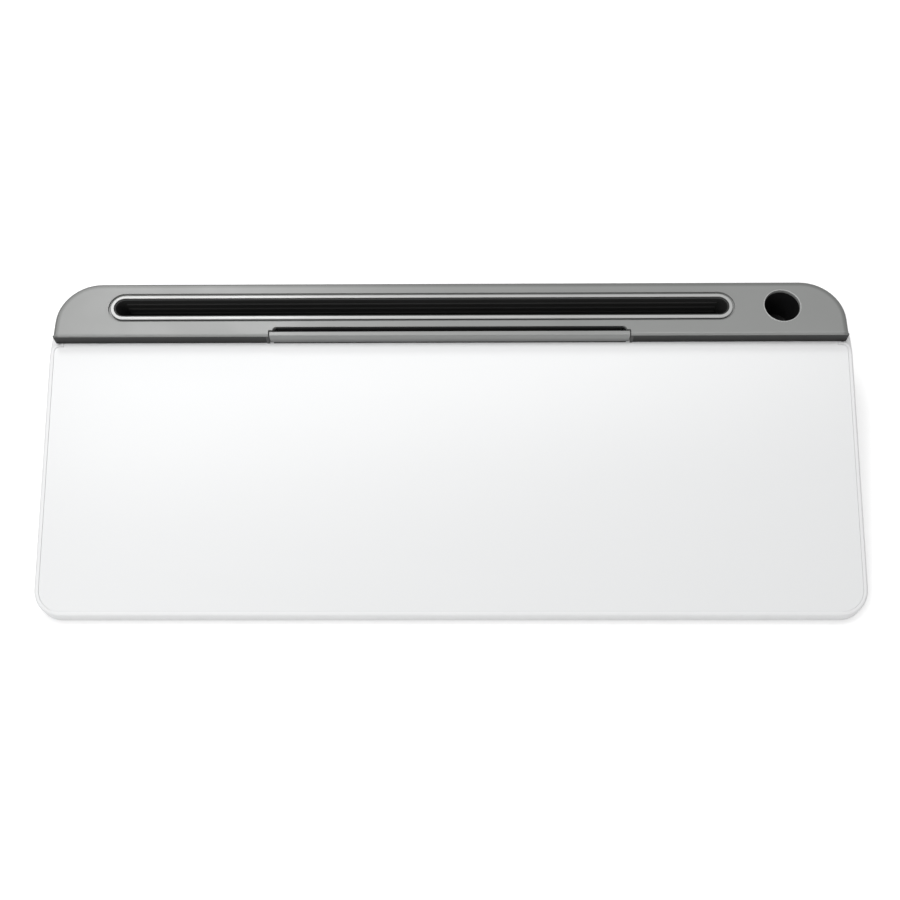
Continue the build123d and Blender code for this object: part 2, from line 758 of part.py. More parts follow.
def leg_strip(near, far, half, x_from, x_to):
    """A flat bar of the leg between two distances from its pin."""
    corners = [leg_place(near, -half), leg_place(near, half)]
    corners += [leg_place(far, half), leg_place(far, -half)]
    return profile(corners, x_from, x_to)


def tilt_leg(x):
    """A webbed leg with flanges, a barrel for its pin and a heel that stops it."""
    left, right = x - leg_width / 2, x + leg_width / 2
    shin_end = leg_length + boot_radius - boot_height - overrun
    with BuildPart() as leg:
        add(leg_strip(0, leg_length, leg_web / 2, left, right))
        for place in (left, x - rib / 2, right - rib):
            add(leg_strip(0, shin_end, leg_flange / 2, place, place + rib))
        add(rod(leg_pivot, leg_barrel_radius, left, right))
        # The heel's face lies flat against the pocket's rear wall.
        with BuildSketch(sole_section(x - notch_width / 2)):
            with BuildLine():
                Polyline(
                    (leg_pivot_run, leg_pivot_inset),
                    (pocket_rear, leg_pivot_inset - leg_barrel_radius / 2),
                    (pocket_rear, heel_low),
                    (leg_pivot_run, heel_low),
                    close=True,
                )
            make_face()
        extrude(amount=notch_width)
        bore = leg_pin_diameter / 2 + running_gap
        add(rod(leg_pivot, bore, left, right), mode=Mode.SUBTRACT)
    return leg.part


def leg_boot(x):
    """A rubber sleeve around the leg's lower edge, with a rounded tread."""
    left, right = x - leg_width / 2, x + leg_width / 2
    collar = leg_length + boot_radius - boot_height
    with BuildPart() as boot:
        add(rod(leg_place(leg_length), boot_radius, left, right))
        add(leg_strip(collar, leg_length, boot_radius, left, right))
        web = leg_web / 2 + boot_gap
        add(leg_strip(0, leg_length + boot_gap, web, left, right), mode=Mode.SUBTRACT)
        split(bisect_by=Plane.XY, keep=Keep.TOP)
    return boot.part


pin_half = pocket_width / 2 + wall
legs = {}
for name, x in (("left", -leg_x), ("right", leg_x)):
    legs["leg_" + name] = tilt_leg(x)
    legs["leg_boot_" + name] = leg_boot(x)
    radius = leg_pin_diameter / 2
    legs["leg_pin_" + name] = rod(leg_pivot, radius, x - pin_half, x + pin_half)
for name, piece in legs.items():
    piece.label = name

# ---- Screws ----


def screws(plane, places):
    """Screws along a plane's normal, the seats of their heads on the plane."""
    with BuildPart() as row:
        with BuildSketch(plane):
            add(spots(places, screw_head / 2))
        extrude(amount=-screw_head_height)
        with BuildSketch(plane):
            add(spots(places, screw_shank / 2))
        extrude(amount=screw_length)
    return row.part


tray_screws = screws(Plane.XY.offset(ceiling_z), tray_screw_spots)
tray_screws.label = "tray_screws"

with BuildPart() as base_screws:
    for places, seam_rise in base_screw_rows():
        add(screws(sole.offset(seam_rise - base_grip), places))
base_screws.part.label = "base_screws"

# ---- Export ----

pieces = [
    top_shell.part,
    writing_sheet.part,
    bonding_tape.part,
    base_tub.part,
    front_feet,
    rear_feet,
    tray_cover.part,
    front_strip_left,
    front_strip_right,
    slot_trough.part,
    slot_grip.part,
    pen_cup.part,
    clip_bar.part,
    clip_pad,
    clip_pin,
    slit_liner,
    clip_spring_left.part,
    clip_spring_right.part,
    *legs.values(),
    tray_screws,
    base_screws.part,
]
for piece in pieces:
    export_step(piece, f"parts/{piece.label}.step")
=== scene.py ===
import math

import bmesh
import bpy
from mathutils import Matrix, Vector


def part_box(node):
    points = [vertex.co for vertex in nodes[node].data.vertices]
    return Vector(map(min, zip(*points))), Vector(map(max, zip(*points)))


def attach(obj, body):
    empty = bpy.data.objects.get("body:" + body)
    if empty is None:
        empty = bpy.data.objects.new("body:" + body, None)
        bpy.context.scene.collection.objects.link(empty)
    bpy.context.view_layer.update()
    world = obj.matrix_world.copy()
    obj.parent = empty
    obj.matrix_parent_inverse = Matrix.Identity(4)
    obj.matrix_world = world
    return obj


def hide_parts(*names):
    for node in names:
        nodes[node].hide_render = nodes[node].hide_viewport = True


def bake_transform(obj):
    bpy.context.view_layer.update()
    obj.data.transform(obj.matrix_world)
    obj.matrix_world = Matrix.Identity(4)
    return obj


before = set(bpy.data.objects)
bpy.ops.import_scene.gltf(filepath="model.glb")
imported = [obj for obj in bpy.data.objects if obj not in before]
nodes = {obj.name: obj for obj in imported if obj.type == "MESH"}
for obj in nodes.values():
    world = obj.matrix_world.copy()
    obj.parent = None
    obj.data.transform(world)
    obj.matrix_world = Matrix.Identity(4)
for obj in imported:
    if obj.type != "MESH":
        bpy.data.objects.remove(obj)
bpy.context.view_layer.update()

scene = bpy.context.scene
print("frame loaded:", len(nodes), "nodes")


def topOf(name):
    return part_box(name)[1].z


def middleOf(name):
    low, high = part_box(name)
    return (low + high) / 2


def addNode(tree, kind, values=None, **settings):
    node = tree.nodes.new(kind)
    for key, value in settings.items():
        setattr(node, key, value)
    for key, value in (values or {}).items():
        node.inputs[key].default_value = value
    return node


# camera, floor and light

cameraSetup = {
    "place": (0.00968, -0.30309, 0.68005),
    "elevation": 65.224,       # degrees above the desk
    "turn": 1.791,             # to the left, about the upright
    "roll": -1.738,
    "lens": 51.16,
    "sensor": 36.0,
}

lampSetup = [
    # name, place, target, width, height, watts
    ("topPanel", (-0.04, 0.22, 1.40), (0.0, 0.0, 0.02), 1.40, 0.44, 9.1),
    ("leftPanel", (-0.60, -0.75, 1.20), (0.0, 0.0, 0.02), 0.60, 0.60, 5.6),
    ("rearPanel", (-0.50, 0.94, 1.55), (-0.12, 0.07, 0.05), 0.40, 0.40, 7.2),
    ("frontPanel", (0.25, -1.50, 0.60), (0.0, 0.0, 0.02), 1.40, 0.70, 3.4),
]

skySetup = {"colour": (1.0, 1.0, 1.0), "strength": 0.29, "backdrop": 1.0}
floorSetup = {
    "reach": 6.0,
    "colour": 0.80,
    "glow": 0.39,        # about the object, where its shadow shows
    "farGlow": 0.9,      # past the shadow
    "near": 0.45,
    "far": 0.95,
}


def addCamera(setup):
    data = bpy.data.cameras.new("deskCamera")
    data.lens = setup["lens"]
    data.sensor_width = setup["sensor"]
    camera = bpy.data.objects.new("deskCamera", data)
    scene.collection.objects.link(camera)
    turn = Matrix.Rotation(math.radians(setup["turn"]), 4, "Z")
    tilt = Matrix.Rotation(math.radians(90 - setup["elevation"]), 4, "X")
    roll = Matrix.Rotation(math.radians(setup["roll"]), 4, "Z")
    camera.matrix_world = Matrix.Translation(setup["place"]) @ turn @ tilt @ roll
    scene.camera = camera


def addLamp(name, place, target, width, height, watts):
    data = bpy.data.lights.new(name, "AREA")
    data.shape = "RECTANGLE"
    data.size, data.size_y, data.energy = width, height, watts
    lamp = bpy.data.objects.new(name, data)
    lamp.location = place
    aim = Vector(target) - Vector(place)
    lamp.rotation_euler = aim.to_track_quat("-Z", "Y").to_euler()
    scene.collection.objects.link(lamp)


def addSky(setup):
    sky = bpy.data.worlds.new("studioSky")
    scene.world = sky
    sky.use_nodes = True
    tree = sky.node_tree
    tree.nodes.clear()
    link = tree.links.new
    colour = (*setup["colour"], 1)
    light = addNode(tree, "ShaderNodeBackground", {"Color": colour, "Strength": setup["strength"]})
    # past the floor's edge the camera sees plain white
    backdrop = addNode(tree, "ShaderNodeBackground", {"Color": colour, "Strength": setup["backdrop"]})
    path = addNode(tree, "ShaderNodeLightPath")
    pick = addNode(tree, "ShaderNodeMixShader")
    out = addNode(tree, "ShaderNodeOutputWorld")
    link(path.outputs["Is Camera Ray"], pick.inputs[0])
    link(light.outputs[0], pick.inputs[1])
    link(backdrop.outputs[0], pick.inputs[2])
    link(pick.outputs[0], out.inputs["Surface"])


def makeDeskWhite(setup):
    material = bpy.data.materials.new("deskWhite")
    material.use_nodes = True
    tree = material.node_tree
    tree.nodes.clear()
    link = tree.links.new
    paint = addNode(tree, "ShaderNodeBsdfDiffuse", {"Color": (*[setup["colour"]] * 3, 1)})
    # the camera and reflections see a glow on the paint, which lights nothing else
    path = addNode(tree, "ShaderNodeLightPath")
    seen = addNode(tree, "ShaderNodeMath", operation="MAXIMUM")
    link(path.outputs["Is Camera Ray"], seen.inputs[0])
    link(path.outputs["Is Glossy Ray"], seen.inputs[1])
    spot = addNode(tree, "ShaderNodeTexCoord")
    away = addNode(tree, "ShaderNodeVectorMath", operation="LENGTH")
    rise = addNode(
        tree,
        "ShaderNodeMapRange",
        {
            "From Min": setup["near"],
            "From Max": setup["far"],
            "To Min": setup["glow"],
            "To Max": setup["farGlow"],
        },
    )
    strength = addNode(tree, "ShaderNodeMath", operation="MULTIPLY")
    glow = addNode(tree, "ShaderNodeEmission")
    both = addNode(tree, "ShaderNodeAddShader")
    link(spot.outputs["Object"], away.inputs[0])
    link(away.outputs["Value"], rise.inputs["Value"])
    link(seen.outputs[0], strength.inputs[0])
    link(rise.outputs[0], strength.inputs[1])
    link(strength.outputs[0], glow.inputs["Strength"])
    link(paint.outputs[0], both.inputs[0])
    link(glow.outputs[0], both.inputs[1])
    # from below the floor is clear, so that the underside can be seen
    flat = addNode(tree, "ShaderNodeNewGeometry")
    clear = addNode(tree, "ShaderNodeBsdfTransparent")
    sided = addNode(tree, "ShaderNodeMixShader")
    out = addNode(tree, "ShaderNodeOutputMaterial")
    link(flat.outputs["Backfacing"], sided.inputs[0])
    link(both.outputs[0], sided.inputs[1])
    link(clear.outputs[0], sided.inputs[2])
    link(sided.outputs[0], out.inputs["Surface"])
    return material


def addFloor(setup):
    mesh = bpy.data.meshes.new("deskTop")
    half = setup["reach"] / 2
    corners = [(-half, -half, 0), (half, -half, 0), (half, half, 0), (-half, half, 0)]
    mesh.from_pydata(corners, [], [(0, 1, 2, 3)])
    mesh.materials.append(makeDeskWhite(setup))
    floor = bpy.data.objects.new("deskTop", mesh)
    scene.collection.objects.link(floor)


addCamera(cameraSetup)
for lamp in lampSetup:
    addLamp(*lamp)
addSky(skySetup)
addFloor(floorSetup)
scene.view_settings.view_transform = "Standard"
print("camera, floor and light placed")

# shared effects, as shader node groups


def newGroup(name, inputs, outputs):
    tree = bpy.data.node_groups.new(name, "ShaderNodeTree")
    for label, kind, value in inputs:
        socket = tree.interface.new_socket(label, in_out="INPUT", socket_type=kind)
        socket.default_value = value
    for label, kind in outputs:
        tree.interface.new_socket(label, in_out="OUTPUT", socket_type=kind)
    return tree, tree.nodes.new("NodeGroupInput"), tree.nodes.new("NodeGroupOutput")


def addNoise(tree, place, size, values):
    # its marks are about as large as the size, in metres
    scale = addNode(tree, "ShaderNodeMath", {0: 1.0}, operation="DIVIDE")
    noise = addNode(tree, "ShaderNodeTexNoise", values)
    tree.links.new(size, scale.inputs[1])
    tree.links.new(place, noise.inputs["Vector"])
    tree.links.new(scale.outputs[0], noise.inputs["Scale"])
    return noise.outputs["Fac"]


def addBlend(tree, share, low, high):
    # low where the share is 0 and high where it is 1, each a colour or an output
    node = addNode(tree, "ShaderNodeMix", data_type="RGBA")
    tree.links.new(share, node.inputs["Factor"])
    for key, tint in (("A", low), ("B", high)):
        if isinstance(tint, tuple):
            node.inputs[key].default_value = (*tint, 1)
        else:
            tree.links.new(tint, node.inputs[key])
    return node.outputs["Result"]


def makeMouldedGroup():
    # fine moulded grain, a softened edge, and masks for cloudiness and for lighter edges, which are
    # rubbed wear and a painted highlight
    tree, given, out = newGroup(
        "mouldedSkin",
        [
            ("Grain Size", "NodeSocketFloat", 0.0004),
            ("Grain Depth", "NodeSocketFloat", 0.00002),
            ("Edge Radius", "NodeSocketFloat", 0.0004),
            ("Cloud Size", "NodeSocketFloat", 0.05),
        ],
        [
            ("Normal", "NodeSocketVector"),
            ("Wear And Highlight", "NodeSocketFloat"),
            ("Cloud", "NodeSocketFloat"),
        ],
    )
    unmarkedCosine, fullyMarkedCosine = 0.995, 0.90    # cosines between the softened edge and the face
    link = tree.links.new
    place = addNode(tree, "ShaderNodeTexCoord").outputs["Object"]
    grain = addNoise(tree, place, given.outputs["Grain Size"], {"Detail": 2.0, "Roughness": 0.6})
    cloud = addNoise(tree, place, given.outputs["Cloud Size"], {"Detail": 3.0, "Roughness": 0.5})
    soft = addNode(tree, "ShaderNodeBevel", samples=4)
    bump = addNode(tree, "ShaderNodeBump", {"Strength": 1.0})
    link(given.outputs["Edge Radius"], soft.inputs["Radius"])
    link(grain, bump.inputs["Height"])
    link(given.outputs["Grain Depth"], bump.inputs["Distance"])
    link(soft.outputs[0], bump.inputs["Normal"])
    link(bump.outputs[0], out.inputs["Normal"])
    # where the softened edge leaves the true face the colour goes lighter: rubbed wear, and a painted
    # highlight along the edge
    flat = addNode(tree, "ShaderNodeNewGeometry")
    agree = addNode(tree, "ShaderNodeVectorMath", operation="DOT_PRODUCT")
    wearAndHighlight = addNode(tree, "ShaderNodeMapRange", {"From Min": unmarkedCosine, "From Max": fullyMarkedCosine})
    link(soft.outputs[0], agree.inputs[0])
    link(flat.outputs["True Normal"], agree.inputs[1])
    link(agree.outputs["Value"], wearAndHighlight.inputs["Value"])
    link(wearAndHighlight.outputs[0], out.inputs["Wear And Highlight"])
    link(cloud, out.inputs["Cloud"])
    return tree


def makePaintedShadeGroup():
    # painted shade: a tint that goes over to another, darker colour between two heights
    tree, given, out = newGroup(
        "paintedShadeByHeight",
        [
            ("Tint", "NodeSocketColor", (0.5, 0.5, 0.5, 1)),
            ("Low Colour", "NodeSocketColor", (0.1, 0.1, 0.1, 1)),
            ("Low Height", "NodeSocketFloat", 0.0),
            ("High Height", "NodeSocketFloat", 0.01),
        ],
        [("Colour", "NodeSocketColor")],
    )
    link = tree.links.new
    place = addNode(tree, "ShaderNodeTexCoord")
    split = addNode(tree, "ShaderNodeSeparateXYZ")
    share = addNode(tree, "ShaderNodeMapRange")
    link(place.outputs["Object"], split.inputs[0])
    link(split.outputs["Z"], share.inputs["Value"])
    link(given.outputs["Low Height"], share.inputs["From Min"])
    link(given.outputs["High Height"], share.inputs["From Max"])
    blend = addBlend(tree, share.outputs[0], given.outputs["Low Colour"], given.outputs["Tint"])
    link(blend, out.inputs["Colour"])
    return tree


def makeWipedGroup():
    # enamel's slow ripple, and the faint sweeps that an eraser leaves in its gloss
    tree, given, out = newGroup(
        "wipedEnamel",
        [
            ("Ripple Size", "NodeSocketFloat", 0.006),
            ("Ripple Depth", "NodeSocketFloat", 0.000004),
            ("Sweep Size", "NodeSocketFloat", 0.02),
        ],
        [("Normal", "NodeSocketVector"), ("Sweep", "NodeSocketFloat")],
    )
    sweepLie = {"Rotation": (0.0, 0.0, 0.35), "Scale": (0.12, 1.0, 1.0)}    # long, and a little askew
    link = tree.links.new
    place = addNode(tree, "ShaderNodeTexCoord").outputs["Object"]
    ripple = addNoise(tree, place, given.outputs["Ripple Size"], {"Detail": 1.0})
    bump = addNode(tree, "ShaderNodeBump", {"Strength": 1.0})
    link(ripple, bump.inputs["Height"])
    link(given.outputs["Ripple Depth"], bump.inputs["Distance"])
    link(bump.outputs[0], out.inputs["Normal"])
    lie = addNode(tree, "ShaderNodeMapping", sweepLie)
    link(place, lie.inputs["Vector"])
    sweepNoise = {"Detail": 1.0, "Distortion": 0.3}
    link(addNoise(tree, lie.outputs[0], given.outputs["Sweep Size"], sweepNoise), out.inputs["Sweep"])
    return tree


mouldedSkin = makeMouldedGroup()
paintedShadeByHeight = makePaintedShadeGroup()
wipedEnamel = makeWipedGroup()

# materials


def newMaterial(name, colour, roughness, metallic=0.0, level=0.5):
    material = bpy.data.materials.new(name)
    material.use_nodes = True
    tree = material.node_tree
    shader = tree.nodes["Principled BSDF"]
    shader.inputs["Base Color"].default_value = (*colour, 1)
    shader.inputs["Roughness"].default_value = roughness
    shader.inputs["Metallic"].default_value = metallic
    shader.inputs["Specular IOR Level"].default_value = level
    return material, tree, shader


def addPaintedRimShade(tree, tint, rim):
    # painted shade: a darker colour in a band inside the tray's outline, round its rear corners and
    # along its rear edge, where the rounded edge turns from the light
    corner, band = rim["corner"], rim["band"]
    trayEnd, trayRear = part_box("tray_cover")[1].xy
    # a centre far above the tray, so that height plays no part
    centre = (trayEnd - corner, trayRear - corner, 1.0)
    link = tree.links.new
    place = addNode(tree, "ShaderNodeTexCoord")
    mirrored = addNode(tree, "ShaderNodeVectorMath", operation="ABSOLUTE")
    past = addNode(tree, "ShaderNodeVectorMath", {1: centre}, operation="SUBTRACT")
    kept = addNode(tree, "ShaderNodeVectorMath", operation="MAXIMUM")
    reach = addNode(tree, "ShaderNodeVectorMath", operation="LENGTH")
    share = addNode(
        tree,
        "ShaderNodeMapRange",
        {"From Min": corner - band, "From Max": corner - band / 2},
        interpolation_type="SMOOTHSTEP",
    )
    link(place.outputs["Object"], mirrored.inputs[0])
    link(mirrored.outputs[0], past.inputs[0])
    link(past.outputs[0], kept.inputs[0])
    link(kept.outputs[0], reach.inputs[0])
    link(reach.outputs["Value"], share.inputs["Value"])
    return addBlend(tree, share.outputs[0], tint, rim["colour"])


def addFrontPaint(tree, tint, front):
    # the tray's front wall is dark beside the strips, up to their height
    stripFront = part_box("front_strip_left")[0].y
    stripTop = topOf("front_strip_left") + front["margin"]
    link = tree.links.new
    place = addNode(tree, "ShaderNodeTexCoord")
    split = addNode(tree, "ShaderNodeSeparateXYZ")
    ahead = addNode(tree, "ShaderNodeMath", {1: stripFront}, operation="LESS_THAN")
    below = addNode(tree, "ShaderNodeMath", {1: stripTop}, operation="LESS_THAN")
    both = addNode(tree, "ShaderNodeMath", operation="MULTIPLY")
    link(place.outputs["Object"], split.inputs[0])
    link(split.outputs["Y"], ahead.inputs[0])
    link(split.outputs["Z"], below.inputs[0])
    link(ahead.outputs[0], both.inputs[0])
    link(below.outputs[0], both.inputs[1])
    return addBlend(tree, both.outputs[0], tint, front["colour"])


def addPaintedShade(tree, tint, paintedShade):
    # painted shade: the part goes darker between two depths below its node's top
    top = topOf(paintedShade["node"])
    paintedShadeNode = addNode(
        tree,
        "ShaderNodeGroup",
        {
            "Low Colour": (*paintedShade["colour"], 1),
            "Low Height": top - paintedShade["ends"],
            "High Height": top - paintedShade["starts"],
        },
        node_tree=paintedShadeByHeight,
    )
    tree.links.new(tint, paintedShadeNode.inputs["Tint"])
    return paintedShadeNode.outputs["Colour"]


def shaded(colour, factor):
    return tuple(min(1.0, part * factor) for part in colour)


def mouldedMaterial(name, look):
    colour, roughness, cloud = look["colour"], look["roughness"], look["cloud"]
    material, tree, shader = newMaterial(
        name, colour, roughness, look.get("metallic", 0.0), look.get("level", 0.5)
    )
    link = tree.links.new
    skin = addNode(
        tree,
        "ShaderNodeGroup",
        {
            "Grain Size": look["grainSize"],
            "Grain Depth": look["grainDepth"],
            "Edge Radius": look["edgeRadius"],
        },
        node_tree=mouldedSkin,
    )
    tint = addBlend(tree, skin.outputs["Cloud"], shaded(colour, 1 - cloud), shaded(colour, 1 + cloud))
    # painted highlight and rubbed wear: softened edges go over to a lighter colour
    amount = addNode(tree, "ShaderNodeMath", {1: look["wearAndHighlight"]}, operation="MULTIPLY")
    link(skin.outputs["Wear And Highlight"], amount.inputs[0])
    tint = addBlend(tree, amount.outputs[0], tint, look["wearAndHighlightColour"])
    # painted shade along the tray's rounded rear edge
    if "rim" in look:
        tint = addPaintedRimShade(tree, tint, look["rim"])
    if "front" in look:
        tint = addFrontPaint(tree, tint, look["front"])
    # painted shade, darker lower down on the part
    if "paintedShade" in look:
        tint = addPaintedShade(tree, tint, look["paintedShade"])
    link(tint, shader.inputs["Base Color"])
    calm, cloudy = 0.3, 0.7           # the cloud mask seldom leaves these
    smoother, rougher = 0.04, 0.05    # than the look's own roughness, at those two
    rough = addNode(
        tree,
        "ShaderNodeMapRange",
        {
            "From Min": calm,
            "From Max": cloudy,
            "To Min": roughness - smoother,
            "To Max": roughness + rougher,
        },
    )
    link(skin.outputs["Cloud"], rough.inputs["Value"])
    link(rough.outputs[0], shader.inputs["Roughness"])
    link(skin.outputs["Normal"], shader.inputs["Normal"])
    return material


# looks: cloud is how far the tone wanders, and the edge amount how far a softened edge takes its own
# lighter colour, for rubbed wear and a painted highlight;
# a painted shade starts and ends at depths below its node's top, darker at the lower one, and a
# negative depth is above it

whiteShellLook = {
    "colour": (0.79, 0.794, 0.798), "roughness": 0.36,
    "grainSize": 0.0005, "grainDepth": 0.000012, "edgeRadius": 0.0006, "cloud": 0.006,
    "wearAndHighlightColour": (0.9, 0.9, 0.9), "wearAndHighlight": 0.5,
}
greyPlainLook = {
    "colour": (0.252, 0.257, 0.252), "roughness": 0.34, "level": 0.6,
    "grainSize": 0.0004, "grainDepth": 0.000016, "edgeRadius": 0.0004, "cloud": 0.03,
    "wearAndHighlightColour": (0.36, 0.365, 0.36), "wearAndHighlight": 0.15,
}
greyTrayLook = dict(
    greyPlainLook,
    # painted shade on the rounded rear edge: radius of the tray's rear corners, and width of the band
    rim={"colour": (0.165, 0.169, 0.165), "corner": 0.0245, "band": 0.0036},
    # just above the strips' top, so that the lip over them is dark below too
    front={"colour": (0.03, 0.0303, 0.03), "margin": 0.00001},
)
greyClipLook = dict(
    greyPlainLook,
    colour=(0.275, 0.28, 0.275),
    # painted shade: the clip's front goes darker towards its foot, by the board
    paintedShade={"node": "clip_bar", "starts": 0.00345, "ends": 0.00745, "colour": (0.105, 0.107, 0.105)},
)
silverTrimLook = {
    "colour": (0.44, 0.445, 0.44), "roughness": 0.32, "metallic": 0.14,
    "grainSize": 0.0003, "grainDepth": 0.000006, "edgeRadius": 0.0003, "cloud": 0.02,
    "wearAndHighlightColour": (0.56, 0.56, 0.555), "wearAndHighlight": 0.5,
    # painted shade: the trim goes darker just below its top, in the groove round the slot
    "paintedShade": {"node": "slot_trough", "starts": 0.00015, "ends": 0.00043, "colour": (0.05, 0.05, 0.05)},
}
darkStripLook = {
    "colour": (0.038, 0.0385, 0.038), "roughness": 0.45, "level": 0.3,
    "grainSize": 0.0004, "grainDepth": 0.000012, "edgeRadius": 0.0003, "cloud": 0.05,
    "wearAndHighlightColour": (0.1, 0.1, 0.1), "wearAndHighlight": 0.5,
    # painted shade: the strips go darker from their top edge towards their foot
    "paintedShade": {
        "node": "front_strip_left", "starts": -0.00005, "ends": 0.00555,
        "colour": (0.008, 0.0082, 0.008),
    },
}
blackRubberLook = {
    "colour": (0.012, 0.0125, 0.012), "roughness": 0.68,
    "grainSize": 0.0006, "grainDepth": 0.00003, "edgeRadius": 0.0003, "cloud": 0.12,
    "wearAndHighlightColour": (0.03, 0.03, 0.03), "wearAndHighlight": 0.5,
}
slotGripLook = dict(blackRubberLook, colour=(0.022, 0.0222, 0.0218))
slitBlackLook = dict(blackRubberLook, colour=(0.004, 0.004, 0.004), roughness=0.85)
blackCupLook = {
    "colour": (0.011, 0.011, 0.0115), "roughness": 0.48,
    "grainSize": 0.0005, "grainDepth": 0.000012, "edgeRadius": 0.0003, "cloud": 0.06,
    "wearAndHighlightColour": (0.03, 0.03, 0.03), "wearAndHighlight": 0.4,
}
legLook = dict(greyPlainLook, colour=(0.24, 0.245, 0.24), roughness=0.46, grainSize=0.0006)
tapeLook = dict(greyPlainLook, colour=(0.7, 0.7, 0.68), roughness=0.8, wearAndHighlight=0.0)

whiteShell = mouldedMaterial("whiteShell", whiteShellLook)
greyTray = mouldedMaterial("greyTray", greyTrayLook)
greyClip = mouldedMaterial("greyClip", greyClipLook)
silverTrim = mouldedMaterial("silverTrim", silverTrimLook)
darkStrip = mouldedMaterial("darkStrip", darkStripLook)
blackRubber = mouldedMaterial("blackRubber", blackRubberLook)
slotGrip = mouldedMaterial("slotGrip", slotGripLook)
slitBlack = mouldedMaterial("slitBlack", slitBlackLook)
blackCup = mouldedMaterial("blackCup", blackCupLook)
greyLeg = mouldedMaterial("greyLeg", legLook)
whiteTape = mouldedMaterial("whiteTape", tapeLook)

enamelLook = {
    "colour": (0.79, 0.796, 0.80), "roughness": 0.25,
    "rippleSize": 0.007, "rippleDepth": 0.000003,
    "sweepSize": 0.018,
    "sweepShares": (0.35, 0.7),    # of the sweep mask, where the gloss starts and stops to drop
    "sweep": 0.02,                 # roughness that a full sweep adds
}


def makeEnamel(look):
    material, tree, shader = newMaterial("whiteEnamel", look["colour"], look["roughness"])
    wiped = addNode(
        tree,
        "ShaderNodeGroup",
        {
            "Ripple Size": look["rippleSize"],
            "Ripple Depth": look["rippleDepth"],
            "Sweep Size": look["sweepSize"],
        },
        node_tree=wipedEnamel,
    )
    rough = addNode(
        tree,
        "ShaderNodeMapRange",
        {
            "From Min": look["sweepShares"][0],
            "From Max": look["sweepShares"][1],
            "To Min": look["roughness"],
            "To Max": look["roughness"] + look["sweep"],
        },
    )
    tree.links.new(wiped.outputs["Sweep"], rough.inputs["Value"])
    tree.links.new(rough.outputs[0], shader.inputs["Roughness"])
    tree.links.new(wiped.outputs["Normal"], shader.inputs["Normal"])
    return material


whiteEnamel = makeEnamel(enamelLook)

steelLook = {
    "colour": (0.56, 0.57, 0.58), "roughness": 0.28, "smoother": 0.08, "rougher": 0.14,
    "streak": 0.00015,     # width of a streak
    "stretch": 0.03,       # its width over its length
}


def makeSteel(look):
    material, tree, shader = newMaterial("brightSteel", look["colour"], look["roughness"], metallic=1.0)
    place = addNode(tree, "ShaderNodeTexCoord")
    lie = addNode(tree, "ShaderNodeMapping", {"Scale": (look["stretch"], 1.0, 1.0)})
    streak = addNode(tree, "ShaderNodeTexNoise", {"Scale": 1 / look["streak"], "Detail": 2.0})
    smoothest, roughest = look["roughness"] - look["smoother"], look["roughness"] + look["rougher"]
    rough = addNode(tree, "ShaderNodeMapRange", {"To Min": smoothest, "To Max": roughest})
    tree.links.new(place.outputs["Object"], lie.inputs["Vector"])
    tree.links.new(lie.outputs[0], streak.inputs["Vector"])
    tree.links.new(streak.outputs["Fac"], rough.inputs["Value"])
    tree.links.new(rough.outputs[0], shader.inputs["Roughness"])
    return material


brightSteel = makeSteel(steelLook)

nodeFinish = {
    "top_shell": whiteShell, "base_tub": whiteShell,
    "writing_sheet": whiteEnamel, "bonding_tape": whiteTape,
    "tray_cover": greyTray, "clip_bar": greyClip, "slot_trough": silverTrim,
    "front_strip_left": darkStrip, "front_strip_right": darkStrip,
    "slot_grip": slotGrip, "clip_pad": blackRubber, "slit_liner": slitBlack, "pen_cup": blackCup,
    "front_feet": blackRubber, "rear_feet": blackRubber,
    "leg_boot_left": blackRubber, "leg_boot_right": blackRubber,
    "leg_left": greyLeg, "leg_right": greyLeg,
    "leg_pin_left": brightSteel, "leg_pin_right": brightSteel, "clip_pin": brightSteel,
    "clip_spring_left": brightSteel, "clip_spring_right": brightSteel,
    "tray_screws": brightSteel, "base_screws": brightSteel,
}
for name, material in nodeFinish.items():
    mesh = nodes[name].data
    if not mesh.materials:
        mesh.materials.append(material)
    for index in range(len(mesh.materials)):
        mesh.materials[index] = material
print("materials made")

# pieces made with Geometry Nodes: each tree is baked to a plain mesh


def newGeometryTree(name, sizes):
    # one input for each size; whole numbers count sides or steps
    tree = bpy.data.node_groups.new(name, "GeometryNodeTree")
    tree.interface.new_socket("Geometry", in_out="INPUT", socket_type="NodeSocketGeometry")
    for label, value in sizes.items():
        kind = "NodeSocketInt" if isinstance(value, int) else "NodeSocketFloat"
        socket = tree.interface.new_socket(label, in_out="INPUT", socket_type=kind)
        socket.default_value = value
    tree.interface.new_socket("Geometry", in_out="OUTPUT", socket_type="NodeSocketGeometry")
    return tree, tree.nodes.new("NodeGroupInput"), tree.nodes.new("NodeGroupOutput")


def closeTree(tree, last, out, material):
    realize = addNode(tree, "GeometryNodeRealizeInstances")
    finish = addNode(tree, "GeometryNodeSetMaterial", {"Material": material})
    tree.links.new(last, realize.inputs["Geometry"])
    tree.links.new(realize.outputs["Geometry"], finish.inputs["Geometry"])
    tree.links.new(finish.outputs["Geometry"], out.inputs["Geometry"])


